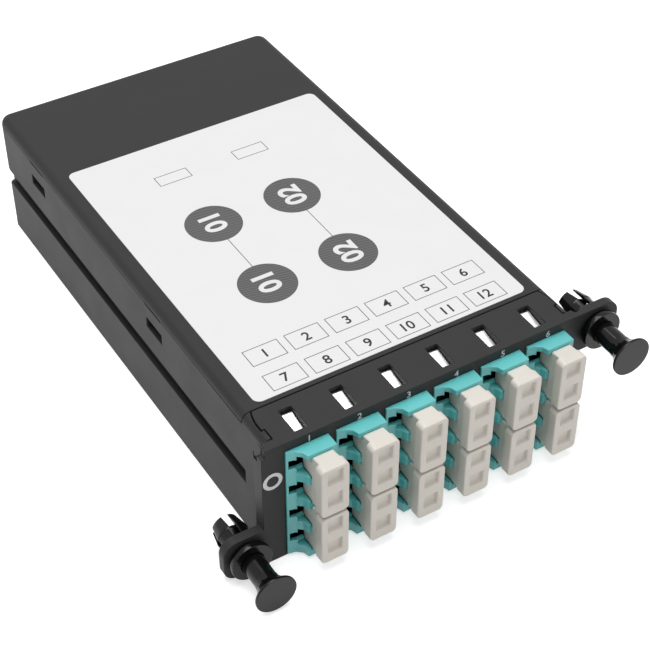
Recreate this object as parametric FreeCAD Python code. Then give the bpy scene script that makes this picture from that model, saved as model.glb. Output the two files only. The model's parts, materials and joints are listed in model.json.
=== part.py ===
"""Fibre cassette: a slim moulded housing with six vertical quad LC adapters at the front.

All sizes are in millimetres.  +X is to the right along the front, +Y runs back into the
housing and +Z is up.  Pieces are drawn with the panel's face at Y = 0 and the underside at Z = 0, and
moved on writing so that the origin is at the centre of the tray's underside.
Each separate piece is written to parts/NAME.step.
"""

import FreeCAD
import Part
import math
import os

from FreeCAD import Vector

# ---------------------------------------------------------------- housing
BODY_WIDTH = 66.0
BODY_DEPTH = 118.3
BODY_HEIGHT = 29.0
WALL = 1.6
FLOOR = 1.5
ADAPTER_FLOOR = 0.45            # thinner floor below the adapters
COVER_THICKNESS = 2.0
COVER_EDGE_RADIUS = 1.8
RIM_HEIGHT = 1.2                # the lid's locating rim inside the walls
RIM_THICKNESS = 1.0
BACK_CORNER_RADIUS = 2.5
SEAM = 0.25                     # open joint between mouldings that meet in view
FIT = 0.1                       # clearance between pieces that fit each other

# ---------------------------------------------------------------- side rails and snaps
RAIL_HEIGHT = 3.25
RAIL_DEPTH = 1.4
RAIL_BACKING = 1.0
RAIL_CENTRE_Z = 13.9
RAIL_STOP_Y = 9.4
SNAP_LENGTH = 6.3
SNAP_HEIGHT = 2.4
SNAP_CENTRE_Z = 22.3
SNAP_FRONT_Y = 44.4
SNAP_BACK_INSET = 20.0          # from the back of the housing to the rear snap's middle
SNAP_ARM_THICKNESS = 1.0
SNAP_BARB = 0.5
SIDE_SLOT_HEIGHT = 0.3
SIDE_SLOT_LENGTH = 12.6         # of the slot behind each hooked arm

# ---------------------------------------------------------------- front panel
PANEL_THICKNESS = 2.0
PANEL_OVERHANG = 1.75           # how far the panel stands out past each side wall
PANEL_RETURN = 0.7              # extra depth of the overhanging edge
STRIP_DEPTH = 9.75
STRIP_OVERHANG = 1.0
WING_TOP_GAP = 1.8
EAR_HEIGHT = 9.4
EAR_THICKNESS = 1.9
EAR_CORNER_RADIUS = 3.0
EAR_MARGIN = 4.8                # from a fastener's axis to its ear's end
FASTENER_GAP = 0.15             # from a grommet's barrel to the panel's side

# ---------------------------------------------------------------- hooked arms beside the strip
ARM_FRONT_GAP = 0.3
ARM_ROOT_WIDTH = 1.7
ARM_NECK_WIDTH = 1.0
ARM_HOOK_WIDTH = 1.6
ARM_HOOK_LENGTH = 2.4
CORNER_RELIEF_RADIUS = 0.9

# ---------------------------------------------------------------- quad adapters
ADAPTER_COUNT = 6
ADAPTER_PITCH = 10.3
ADAPTER_WIDTH = 8.8
ADAPTER_HEIGHT = 26.3
ADAPTER_BOTTOM = 0.65
ADAPTER_REACH = 3.0             # how far the flange stands out of the panel
ADAPTER_BODY_LENGTH = 23.0
FLANGE_LEDGE = 0.15
FLANGE_LEDGE_ENDS = 0.3
PORT_PITCH = 6.25
PORT_COUNT = 4
PORT_SIZE = 4.6
PORT_AXIS_X = 5.8               # from the adapter's left side
LATCH_INNER_X = 1.8
LATCH_OUTER_X = 0.45
LATCH_INNER_HEIGHT = 3.5
LATCH_OUTER_HEIGHT = 1.8
PORT_DEPTH = 11.5
SLEEVE_LENGTH = 6.8
SLEEVE_OUTER_R = 0.85
SLEEVE_INNER_R = 0.68
SMALL_SIDES = 6                 # sides of the small repeated round pieces
SCOOP_WIDTH = 2.95
SCOOP_LIP = 0.45
SCOOP_STEPS = 3                 # flats that follow the scoop's curve

# ---------------------------------------------------------------- retaining clips
CLIP_SHEET = 0.22
CLIP_LENGTH = 7.4
TAB_WIDTH = 2.9
TAB_LENGTH = 4.9
TAB_DROP = 0.95
WINDOW_WIDTH = 2.6
WINDOW_LENGTH = 5.8
WINDOW_FRONT_Y = 1.7

# ---------------------------------------------------------------- duplex dust caps
CAP_WIDTH = 5.7
CAP_HEIGHT = 11.3
CAP_THICKNESS = 1.9
CAP_NECK_LENGTH = 1.9
CAP_NECK_WIDTH = 4.1
CAP_SEAT_GAP = 0.1              # between a cap's neck and the adapter's face
CAP_CORNER_RADIUS = 1.0
CAP_PLUG_LENGTH = 7.0
CAP_NOSE_LENGTH = 1.5
CAP_NOSE_STEP = 0.6
CAP_RECESS_WIDTH = 3.1
CAP_RECESS_HEIGHT = 3.8
CAP_RECESS_DEPTH = 0.8
CAP_RECESS_PITCH = 5.5
PLUG_PLAY = 0.25

# ---------------------------------------------------------------- push-pull fasteners
GROMMET_DISC_R = 4.1
GROMMET_DISC_RIM = 1.1
GROMMET_DISC_FRONT = 1.9        # from the ear's face to the front of the disc
GROMMET_NECK_R = 3.6
GROMMET_BARREL_R = 3.3
GROMMET_BORE_R = 2.35
GROMMET_SHANK_R = 3.1           # enters the hole in the bracket that the cassette fastens to
GROMMET_SHANK_LENGTH = 2.2
GROMMET_NOSE_R = 3.25
GROMMET_NOSE_LENGTH = 3.6
GROMMET_TIP_R = 2.6
GROMMET_SLOT = 1.3
PLUNGER_HEAD_R = 4.1
PLUNGER_RIM = 0.5
PLUNGER_FLARE_LENGTH = 3.5
PLUNGER_FLARE_STEPS = 3         # cones that follow the flare's arc
PLUNGER_STEM_R = 2.25
PLUNGER_WAIST_R = 1.7
PLUNGER_TIP_R = 2.05
PLUNGER_TIP_LENGTH = 1.5
PLUNGER_REACH = 10.4            # panel face to the front of the head, pulled out

# ---------------------------------------------------------------- rear trunk adapters
TRUNK_SPACING = 25.0
TRUNK_WIDTH = 13.0
TRUNK_HEIGHT = 9.4
TRUNK_LENGTH = 22.0
TRUNK_REACH = 8.0
TRUNK_COLLAR = 0.8
TRUNK_PORT_WIDTH = 10.4
TRUNK_PORT_HEIGHT = 6.8
TRUNK_CENTRE_Z = 13.8
TRUNK_WEB = 1.2
TRUNK_COLLAR_LENGTH = 1.4
TRUNK_CORNER_RADIUS = 1.2
TRUNK_KEY_WIDTH = 2.0
TRUNK_FERRULE_WIDTH = 6.8
TRUNK_FERRULE_HEIGHT = 2.8
TRUNK_CAP_DEPTH = 6.0
TRUNK_CAP_WALL = 1.3
TRUNK_PLUG_TAIL = 12.0
TRUNK_GRIP_GAP = 2.0
TRUNK_GRIP_STEP = 0.9

# ---------------------------------------------------------------- inner wiring
LABEL_WIDTH = 59.0
LABEL_LENGTH = 79.0
LABEL_FRONT_Y = 10.9
LABEL_THICKNESS = 0.12
LABEL_CORNER_RADIUS = 1.5
INNER_PLUG_LENGTH = 18.0
INNER_BOOT_LENGTH = 8.0
INNER_BOOT_STEP = 0.4
FERRULE_R = 0.6
FIBRE_R = 0.4
JACKET_LENGTH = 10.3            # between a fan-out block and its trunk plug
FANOUT_LENGTH = 16.0
FANOUT_WIDTH = 10.0
FANOUT_HEIGHT = 7.0
FANOUT_TAPER = 4.0
FANOUT_NOSE_WALL = 0.9
CRADLE_RIB = 1.2
CRADLE_INSET = 3.0
FIBRE_GRID = 1.6
JACKET_R = 1.5

# ---------------------------------------------------------------- derived places
SIDE = BODY_WIDTH / 2
COVER_Z = BODY_HEIGHT - COVER_THICKNESS
PANEL_SIDE = SIDE + PANEL_OVERHANG
FASTENER_X = PANEL_SIDE + FASTENER_GAP + GROMMET_BARREL_R
EAR_END = FASTENER_X + EAR_MARGIN
WING_TOP = BODY_HEIGHT - WING_TOP_GAP
ADAPTER_TOP = ADAPTER_BOTTOM + ADAPTER_HEIGHT
ADAPTER_MID_Z = ADAPTER_BOTTOM + ADAPTER_HEIGHT / 2
ADAPTER_ROW = ADAPTER_PITCH * (ADAPTER_COUNT - 1) + ADAPTER_WIDTH
BODY_Z0 = ADAPTER_BOTTOM + FLANGE_LEDGE_ENDS
BODY_Z1 = ADAPTER_TOP - FLANGE_LEDGE_ENDS
TAB_X = ADAPTER_WIDTH / 2
CAP_FACE_Y = -(ADAPTER_REACH + CAP_NECK_LENGTH + CAP_THICKNESS)
BACK_Y = BODY_DEPTH
TRUNK_MOUTH_Y = BACK_Y + TRUNK_REACH - TRUNK_LENGTH
FANOUT_BACK_Y = TRUNK_MOUTH_Y - TRUNK_PLUG_TAIL - JACKET_LENGTH
FANOUT_FRONT_Y = FANOUT_BACK_Y - FANOUT_LENGTH
CAVITY_BACK_Y = BODY_DEPTH - WALL
SNAP_MIDDLES = (SNAP_FRONT_Y, BODY_DEPTH - SNAP_BACK_INSET)
LOW_FASTENER_Z = EAR_HEIGHT / 2
HIGH_FASTENER_Z = BODY_HEIGHT - EAR_HEIGHT / 2
SLEEVE_MID_Y = ADAPTER_BODY_LENGTH / 2 - ADAPTER_REACH / 2
SHANK_START_Y = PANEL_THICKNESS + PANEL_RETURN + FIT
ORIGIN = FreeCAD.Vector(0, BODY_DEPTH / 2, 0)
OVERCUT = 1.0


# ================================================================ helpers
def box(x0, x1, y0, y1, z0, z1):
    """A block between two corners."""
    return Part.makeBox(x1 - x0, y1 - y0, z1 - z0, Vector(x0, y0, z0))


def wire(points, place):
    """A closed outline of straight runs and three-point arcs.

    Each entry is a point, or a pair (middle, end) for an arc from the point before it.
    place turns the two plane coordinates into a vector.
    """
    start = points[0]
    here = start
    edges = []
    for item in list(points[1:]) + [start]:
        if isinstance(item[0], tuple):
            middle, end = item
            edges.append(Part.Arc(place(*here), place(*middle), place(*end)).toShape())
        else:
            end = item
            if end != here:
                edges.append(Part.LineSegment(place(*here), place(*end)).toShape())
        here = end
    return Part.Wire(edges)


def prism_xy(points, z0, z1):
    """An outline in plan, raised from z0 to z1."""
    face = Part.Face(wire(points, lambda x, y: Vector(x, y, z0)))
    return face.extrude(Vector(0, 0, z1 - z0))


def prism_xz(points, y0, y1):
    """An outline seen from the front, run back from y0 to y1."""
    face = Part.Face(wire(points, lambda x, z: Vector(x, y0, z)))
    return face.extrude(Vector(0, y1 - y0, 0))


def prism_yz(points, x0, x1):
    """An outline seen from the side, run across from x0 to x1."""
    face = Part.Face(wire(points, lambda y, z: Vector(x0, y, z)))
    return face.extrude(Vector(x1 - x0, 0, 0))


def rounded_outline(a0, a1, b0, b1, radius):
    """A rectangle's outline with all four corners rounded."""
    s = radius * (1 - math.sqrt(0.5))
    return [
        (a0 + radius, b0), (a1 - radius, b0), ((a1 - s, b0 + s), (a1, b0 + radius)),
        (a1, b1 - radius), ((a1 - s, b1 - s), (a1 - radius, b1)),
        (a0 + radius, b1), ((a0 + s, b1 - s), (a0, b1 - radius)),
        (a0, b0 + radius), ((a0 + s, b0 + s), (a0 + radius, b0)),
    ]


def prism_y(x, z, radius, sides, y0, y1):
    """A many-sided bar along Y, for small repeated round pieces."""
    turn = 2 * math.pi / sides
    corners = [Vector(x + radius * math.cos(turn * (k + 0.5)), y0,
                      z + radius * math.sin(turn * (k + 0.5))) for k in range(sides)]
    return Part.Face(Part.makePolygon(corners + corners[:1])).extrude(Vector(0, y1 - y0, 0))


def taper_y(x, z, half0, half1, y0, y1):
    """A square bar along Y that changes from one half width to another."""
    return Part.makeWedge(x - half0, y0, z - half0, z - half1, x - half1,
                          x + half0, y1, z + half0, z + half1, x + half1)


def rod_y(x, z, radius, y0, y1):
    """A round bar along Y."""
    return Part.makeCylinder(radius, y1 - y0, Vector(x, y0, z), Vector(0, 1, 0))


def turned_y(x, z, profile):
    """A solid of revolution about an axis along Y; profile is (radius, y) points."""
    outline = wire(profile, lambda r, y: Vector(x + r, y, z))
    return Part.Face(outline).revolve(Vector(x, 0, z), Vector(0, 1, 0), 360)


def mirror_x(shape):
    """The same piece on the other side of the middle plane."""
    return shape.mirror(Vector(0, 0, 0), Vector(1, 0, 0))


def both_sides(shape):
    """A piece and its mirror image."""
    return [shape, mirror_x(shape)]


def joined(first, others):
    """One solid from a list of touching ones."""
    return first.fuse(others).removeSplitter()


def adapter_left(index):
    """The left side of an adapter's flange."""
    return -ADAPTER_ROW / 2 + index * ADAPTER_PITCH


def port_heights():
    """The heights of the port axes, from the lowest up."""
    first = ADAPTER_MID_Z - PORT_PITCH * (PORT_COUNT - 1) / 2
    return [first + k * PORT_PITCH for k in range(PORT_COUNT)]


def write(name, shape):
    """Move one piece to the origin that everything shares, and save it."""
    shape.translated(-ORIGIN).exportStep("parts/" + name + ".step")


# ================================================================ housing pieces
def arm_outline(gap):
    """The hooked arm at the left in plan, grown by a gap, from its root to its hook."""
    y0 = PANEL_THICKNESS + ARM_FRONT_GAP
    y1 = STRIP_DEPTH + SEAM / 2
    root = -SIDE + ARM_ROOT_WIDTH + gap
    neck = -SIDE + ARM_NECK_WIDTH + gap
    hook = -SIDE + ARM_HOOK_WIDTH + gap
    hook_back = y0 + ARM_HOOK_LENGTH
    neck_back = hook_back + ARM_HOOK_LENGTH * 0.75
    flare_mid = (neck + (root - neck) * 0.3, (neck_back + y1) / 2)
    outer = -SIDE - (OVERCUT if gap else 0.0)
    return [
        (outer, y0 - gap), (hook, y0 - gap), (hook, hook_back + gap),
        (neck, hook_back + gap), (neck, neck_back),
        (flare_mid, (root, y1)), (outer, y1),
    ]


def vertical_back_edges(shape):
    """The two upright edges at the back corners."""
    return [e for e in shape.Edges
            if all(v.Point.y > BACK_Y - 0.01 for v in e.Vertexes)
            and abs(e.Vertexes[0].Point.x - e.Vertexes[1].Point.x) < 0.01]


def hooked_arm():
    """The left arm that carries the wall's rounded top edge forward to the panel."""
    block = box(-SIDE, 0, 0, STRIP_DEPTH + SEAM, COVER_Z - WALL, BODY_HEIGHT)
    outer = [e for e in block.Edges
             if all(v.Point.z > BODY_HEIGHT - 0.01 and v.Point.x < -SIDE + 0.01
                    for v in e.Vertexes)]
    block = block.makeFillet(COVER_EDGE_RADIUS, outer)
    block = block.cut(box(-SIDE + WALL, OVERCUT, -OVERCUT, BACK_Y, 0, COVER_Z))
    return block.common(prism_xy(arm_outline(0.0), 0, BODY_HEIGHT))


def rail_groove():
    """The cut for the guide groove along the left side, flared at its open back end."""
    z0 = RAIL_CENTRE_Z - RAIL_HEIGHT / 2
    z1 = RAIL_CENTRE_Z + RAIL_HEIGHT / 2
    flare = RAIL_DEPTH
    run = [
        (RAIL_STOP_Y, z0), (BACK_Y - 2 * flare, z0), (BACK_Y + OVERCUT, z0 - flare),
        (BACK_Y + OVERCUT, z1 + flare), (BACK_Y - 2 * flare, z1), (RAIL_STOP_Y, z1),
    ]
    return prism_yz(run, -SIDE - OVERCUT, -SIDE + RAIL_DEPTH)


def trunk_hole(x):
    """The cut in the back wall for one trunk adapter."""
    half_w = TRUNK_WIDTH / 2 + FIT
    half_h = TRUNK_HEIGHT / 2 + FIT
    return box(x - half_w, x + half_w, CAVITY_BACK_Y - OVERCUT, BACK_Y + OVERCUT,
               TRUNK_CENTRE_Z - half_h, TRUNK_CENTRE_Z + half_h)


def fanout_cradle(x):
    """Two low ribs that hold a fan-out block to the floor."""
    inner = FANOUT_WIDTH / 2 + FIT
    outer = inner + CRADLE_RIB
    top = TRUNK_CENTRE_Z
    y0 = FANOUT_FRONT_Y + CRADLE_INSET
    y1 = FANOUT_BACK_Y - CRADLE_INSET
    return [box(x - outer, x - inner, y0, y1, FLOOR, top),
            box(x + inner, x + outer, y0, y1, FLOOR, top)]


def base_tray():
    """The lower shell: floor, side walls with guide grooves, back wall and hooked arms."""
    front = PANEL_THICKNESS + ARM_FRONT_GAP
    plan = box(-SIDE, SIDE, front, BACK_Y, 0, COVER_Z)
    plan = plan.makeFillet(BACK_CORNER_RADIUS, vertical_back_edges(plan))
    tray = plan.cut(box(-SIDE + WALL, SIDE - WALL, 0, CAVITY_BACK_Y, FLOOR, BODY_HEIGHT))
    adapters_end = ADAPTER_BODY_LENGTH + RIM_THICKNESS
    tray = tray.cut(box(-SIDE + WALL, SIDE - WALL, 0, adapters_end, ADAPTER_FLOOR, BODY_HEIGHT))
    backing = box(-SIDE + WALL, -SIDE + RAIL_DEPTH + RAIL_BACKING, front, CAVITY_BACK_Y,
                  RAIL_CENTRE_Z - RAIL_HEIGHT / 2 - RAIL_BACKING,
                  RAIL_CENTRE_Z + RAIL_HEIGHT / 2 + RAIL_BACKING)
    arm = hooked_arm()
    cradles = fanout_cradle(-TRUNK_SPACING / 2) + fanout_cradle(TRUNK_SPACING / 2)
    tray = tray.fuse(both_sides(backing) + both_sides(arm) + cradles)
    cuts = both_sides(rail_groove())
    for middle in SNAP_MIDDLES:
        y0 = middle - SNAP_LENGTH / 2
        y1 = middle + SNAP_LENGTH / 2
        cuts += both_sides(box(-SIDE - OVERCUT, -SIDE + WALL + OVERCUT / 4, y0, y1,
                               SNAP_CENTRE_Z - SNAP_HEIGHT / 2, SNAP_CENTRE_Z + SNAP_HEIGHT / 2))
        cuts += both_sides(box(-SIDE - OVERCUT, -SIDE + WALL + OVERCUT / 4, y0, y1,
                               COVER_Z - SIDE_SLOT_HEIGHT, COVER_Z))
    slot_y0 = STRIP_DEPTH + SEAM
    cuts += both_sides(box(-SIDE - OVERCUT, -SIDE + WALL / 2, slot_y0, slot_y0 + SIDE_SLOT_LENGTH,
                           COVER_Z - SIDE_SLOT_HEIGHT / 2, COVER_Z))
    cuts += [trunk_hole(-TRUNK_SPACING / 2), trunk_hole(TRUNK_SPACING / 2)]
    cuts += floor_windows()
    return tray.cut(cuts).removeSplitter()


def strip_windows(z0, z1):
    """One slot over each adapter, where its clip's tab shows."""
    windows = []
    for index in range(ADAPTER_COUNT):
        middle = adapter_left(index) + TAB_X
        windows.append(box(middle - WINDOW_WIDTH / 2, middle + WINDOW_WIDTH / 2,
                           WINDOW_FRONT_Y, WINDOW_FRONT_Y + WINDOW_LENGTH, z0, z1))
    return windows


def floor_windows():
    """The same slots through the thin floor, open to the front edge of the tray."""
    front = PANEL_THICKNESS + ARM_FRONT_GAP
    slots = []
    for slot in strip_windows(-OVERCUT, FLOOR):
        limits = slot.BoundBox
        slots.append(box(limits.XMin, limits.XMax, front + OVERCUT, limits.YMax,
                         limits.ZMin, limits.ZMax))
    return slots


def ear(side, z0):
    """A mounting ear; side is -1 at the left and +1 at the right."""
    outline = rounded_outline(-EAR_END, -PANEL_SIDE + EAR_CORNER_RADIUS * 2, z0, z0 + EAR_HEIGHT,
                              EAR_CORNER_RADIUS)
    plate = prism_xz(outline, 0, EAR_THICKNESS)
    root = box(-PANEL_SIDE - EAR_CORNER_RADIUS / 2, -PANEL_SIDE + OVERCUT, 0, EAR_THICKNESS,
               z0, z0 + EAR_HEIGHT)
    plate = plate.fuse(root).common(box(-EAR_END, -SIDE + WALL, 0, EAR_THICKNESS, 0, BODY_HEIGHT))
    plate = plate.cut(rod_y(-FASTENER_X, z0 + EAR_HEIGHT / 2, GROMMET_BARREL_R + FIT,
                            -OVERCUT, EAR_THICKNESS + OVERCUT))
    return plate if side < 0 else mirror_x(plate)


def front_panel():
    """The face plate with its top strip, overhanging edges and two mounting ears."""
    plate = box(-PANEL_SIDE, PANEL_SIDE, 0, PANEL_THICKNESS, 0, WING_TOP)
    wing = box(-PANEL_SIDE, -SIDE - FIT, 0, PANEL_THICKNESS + PANEL_RETURN, 0, WING_TOP)
    strip_end = SIDE + STRIP_OVERHANG
    strip = box(-strip_end, strip_end, 0, STRIP_DEPTH, COVER_Z, BODY_HEIGHT)
    strip_back = box(-PANEL_SIDE, -SIDE + ARM_NECK_WIDTH / 2, PANEL_THICKNESS + FIT,
                     STRIP_DEPTH + OVERCUT, COVER_Z - OVERCUT, BODY_HEIGHT + OVERCUT)
    arm_room = prism_xy(arm_outline(SEAM), COVER_Z - OVERCUT, BODY_HEIGHT + OVERCUT)
    relief = Part.makeCylinder(CORNER_RELIEF_RADIUS, BODY_HEIGHT,
                               Vector(-strip_end, PANEL_THICKNESS, COVER_Z - OVERCUT))
    strip = strip.cut(both_sides(strip_back) + both_sides(arm_room))
    panel = joined(plate, both_sides(wing) + [strip, ear(-1, 0), ear(1, BODY_HEIGHT - EAR_HEIGHT)])
    cuts = both_sides(relief) + strip_windows(COVER_Z - OVERCUT, BODY_HEIGHT + OVERCUT)
    for index in range(ADAPTER_COUNT):
        x0 = adapter_left(index) + FLANGE_LEDGE - FIT
        x1 = adapter_left(index) + ADAPTER_WIDTH - FLANGE_LEDGE + FIT
        cuts.append(box(x0, x1, -OVERCUT, PANEL_THICKNESS + OVERCUT, BODY_Z0 - FIT, BODY_Z1 + FIT))
    return panel.cut(cuts).removeSplitter()


def top_cover():
    """The lid: a rounded plate with a locating rim and four snap arms."""
    front = STRIP_DEPTH + SEAM
    lid = box(-SIDE, SIDE, front, BACK_Y, COVER_Z, BODY_HEIGHT)
    lid = lid.makeFillet(BACK_CORNER_RADIUS, vertical_back_edges(lid))
    outer = [e for e in lid.Edges
             if all(v.Point.z > BODY_HEIGHT - 0.01 for v in e.Vertexes)
             and not all(v.Point.y < front + 0.01 for v in e.Vertexes)]
    lid = lid.makeFillet(COVER_EDGE_RADIUS, outer)
    rim_x = SIDE - WALL - FIT
    rim_y0 = ADAPTER_BODY_LENGTH + 2 * RIM_THICKNESS
    rim_y1 = CAVITY_BACK_Y - FIT
    rim = box(-rim_x, rim_x, rim_y0, rim_y1, COVER_Z - RIM_HEIGHT, COVER_Z)
    rim = rim.cut(box(-rim_x + RIM_THICKNESS, rim_x - RIM_THICKNESS,
                      rim_y0 + RIM_THICKNESS, rim_y1 - RIM_THICKNESS, 0, COVER_Z))
    arms = []
    for middle in SNAP_MIDDLES:
        y0 = middle - SNAP_LENGTH / 2 + FIT
        y1 = middle + SNAP_LENGTH / 2 - FIT
        low = SNAP_CENTRE_Z - SNAP_HEIGHT / 2 + FIT
        high = SNAP_CENTRE_Z + SNAP_HEIGHT / 2 - FIT
        outside = -rim_x
        inside = outside + SNAP_ARM_THICKNESS
        profile = [(inside, COVER_Z), (outside, COVER_Z), (outside, high),
                   (outside - FIT - SNAP_BARB, high), (outside, low), (inside, low)]
        arms += both_sides(prism_xz(profile, y0, y1))
    return joined(lid, [rim] + arms)


def label():
    """The printed sheet stuck to the lid."""
    outline = rounded_outline(-LABEL_WIDTH / 2, LABEL_WIDTH / 2,
                              LABEL_FRONT_Y, LABEL_FRONT_Y + LABEL_LENGTH, LABEL_CORNER_RADIUS)
    return prism_xy(outline, BODY_HEIGHT, BODY_HEIGHT + LABEL_THICKNESS)


# ================================================================ adapters and what they hold
def adapter_flange(left):
    """The part of an adapter in front of the panel, scooped out on its latch side."""
    deep = -ADAPTER_REACH
    outline = [(left, 0)]
    for step in range(SCOOP_STEPS + 1):
        turn = math.radians(90) * step / SCOOP_STEPS
        outline.append((left + SCOOP_WIDTH * math.sin(turn),
                        deep - (deep + SCOOP_LIP) * math.cos(turn)))
    outline += [(left + ADAPTER_WIDTH, deep), (left + ADAPTER_WIDTH, 0)]
    return prism_xy(outline, ADAPTER_BOTTOM, ADAPTER_TOP)


def port_outline(left, z):
    """A port seen from the front: a square hole with a stepped latch slot at its left."""
    x0 = left + PORT_AXIS_X - PORT_SIZE / 2
    x1 = left + PORT_AXIS_X + PORT_SIZE / 2
    half = PORT_SIZE / 2
    inner = LATCH_INNER_HEIGHT / 2
    outer = LATCH_OUTER_HEIGHT / 2
    step = left + LATCH_INNER_X
    latch = left + LATCH_OUTER_X
    return [(x0, z - half), (x1, z - half), (x1, z + half), (x0, z + half), (x0, z + inner),
            (step, z + inner), (step, z + outer), (latch, z + outer), (latch, z - outer),
            (step, z - outer), (step, z - inner), (x0, z - inner)]


def adapter(index):
    """A quad adapter: four ports in a column, open at both ends, with a web at mid length."""
    left = adapter_left(index)
    body = box(left + FLANGE_LEDGE, left + ADAPTER_WIDTH - FLANGE_LEDGE, 0, ADAPTER_BODY_LENGTH,
               BODY_Z0, BODY_Z1)
    cuts = []
    for z in port_heights():
        cuts.append(prism_xz(port_outline(left, z),
                             -ADAPTER_REACH - OVERCUT, PORT_DEPTH - ADAPTER_REACH))
        axis = left + PORT_AXIS_X
        cuts.append(box(left + LATCH_INNER_X, axis + PORT_SIZE / 2,
                        ADAPTER_BODY_LENGTH - PORT_DEPTH, ADAPTER_BODY_LENGTH + OVERCUT,
                        z - PORT_SIZE / 2, z + PORT_SIZE / 2))
        cuts.append(prism_y(left + PORT_AXIS_X, z, SLEEVE_OUTER_R + FIT / 2, SMALL_SIDES,
                            PORT_DEPTH - ADAPTER_REACH - FIT,
                            ADAPTER_BODY_LENGTH - PORT_DEPTH + FIT))
    pocket = WINDOW_LENGTH + WINDOW_FRONT_Y
    tab_room = TAB_DROP + CLIP_SHEET
    x0 = left + TAB_X - TAB_WIDTH / 2 - FIT
    x1 = left + TAB_X + TAB_WIDTH / 2 + FIT
    cuts.append(box(x0, x1, PANEL_THICKNESS, pocket, BODY_Z1 + FIT - tab_room, BODY_Z1 + OVERCUT))
    cuts.append(box(x0, x1, PANEL_THICKNESS, pocket, BODY_Z0 - OVERCUT, BODY_Z0 - FIT + tab_room))
    return joined(adapter_flange(left), [body]).cut(cuts)


def clip(index):
    """The spring clip round an adapter: a side strap and two legs with sprung tabs."""
    left = adapter_left(index)
    gap = FIT / 2
    y0 = PANEL_THICKNESS + FIT
    y1 = y0 + CLIP_LENGTH
    right = left + ADAPTER_WIDTH - FLANGE_LEDGE + gap
    top = BODY_Z1 + gap
    bottom = BODY_Z0 - gap
    strap = box(right, right + CLIP_SHEET, y0, y1, bottom - CLIP_SHEET, top + CLIP_SHEET)
    tab_x0 = left + TAB_X - TAB_WIDTH / 2
    tab_x1 = left + TAB_X + TAB_WIDTH / 2
    tab_root = y0 + TAB_LENGTH

    def leg(z, up):
        """One leg and its tab; up is +1 at the top and -1 at the bottom."""
        z_far = z + up * CLIP_SHEET
        plate = box(left + 2 * FLANGE_LEDGE, right + CLIP_SHEET, y0, y1, min(z, z_far),
                    max(z, z_far))
        plate = plate.cut(box(tab_x0 - FIT, tab_x1 + FIT, y0 - OVERCUT, tab_root,
                              min(z, z_far) - OVERCUT, max(z, z_far) + OVERCUT))
        drop = -up * TAB_DROP
        tab = prism_yz([(tab_root, z), (tab_root, z_far), (y0, z_far + drop), (y0, z + drop)],
                       tab_x0, tab_x1)
        return [plate, tab]

    return joined(strap, leg(top, 1) + leg(bottom, -1))


def sleeves():
    """The alignment sleeves, one on every port's axis."""
    y0 = SLEEVE_MID_Y - SLEEVE_LENGTH / 2
    y1 = SLEEVE_MID_Y + SLEEVE_LENGTH / 2
    tubes = []
    for index in range(ADAPTER_COUNT):
        x = adapter_left(index) + PORT_AXIS_X
        for z in port_heights():
            tube = prism_y(x, z, SLEEVE_OUTER_R, SMALL_SIDES, y0, y1)
            tubes.append(tube.cut(prism_y(x, z, SLEEVE_INNER_R, SMALL_SIDES, y0 - FIT, y1 + FIT)))
    return Part.makeCompound(tubes)


def dust_cap(index, first_port):
    """A duplex dust cap: a finger block with two shallow pockets, a neck and two plugs."""
    axis = adapter_left(index) + PORT_AXIS_X
    heights = port_heights()[first_port:first_port + 2]
    middle = sum(heights) / 2
    block_y1 = CAP_FACE_Y + CAP_THICKNESS
    block = prism_xz(rounded_outline(axis - CAP_WIDTH / 2, axis + CAP_WIDTH / 2,
                                     middle - CAP_HEIGHT / 2, middle + CAP_HEIGHT / 2,
                                     CAP_CORNER_RADIUS), CAP_FACE_Y, block_y1)
    seat = -ADAPTER_REACH - CAP_SEAT_GAP
    neck = box(axis - CAP_NECK_WIDTH / 2, axis + CAP_NECK_WIDTH / 2, block_y1, seat,
               middle - CAP_HEIGHT / 2, middle + CAP_HEIGHT / 2)
    half = PORT_SIZE / 2 - PLUG_PLAY
    tip = half - CAP_NOSE_STEP
    solids = [neck]
    pockets = []
    for z in heights:
        y1 = -ADAPTER_REACH + CAP_PLUG_LENGTH
        nose_y = y1 - CAP_NOSE_LENGTH
        shank = box(axis - half, axis + half, seat, nose_y, z - half, z + half)
        nose = taper_y(axis, z, half, tip, nose_y, y1)
        solids += [shank, nose]
    for z in (middle - CAP_RECESS_PITCH / 2, middle + CAP_RECESS_PITCH / 2):
        pockets.append(box(axis - CAP_RECESS_WIDTH / 2, axis + CAP_RECESS_WIDTH / 2,
                           CAP_FACE_Y - OVERCUT, CAP_FACE_Y + CAP_RECESS_DEPTH,
                           z - CAP_RECESS_HEIGHT / 2, z + CAP_RECESS_HEIGHT / 2))
    return joined(block, solids).cut(pockets)


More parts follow.
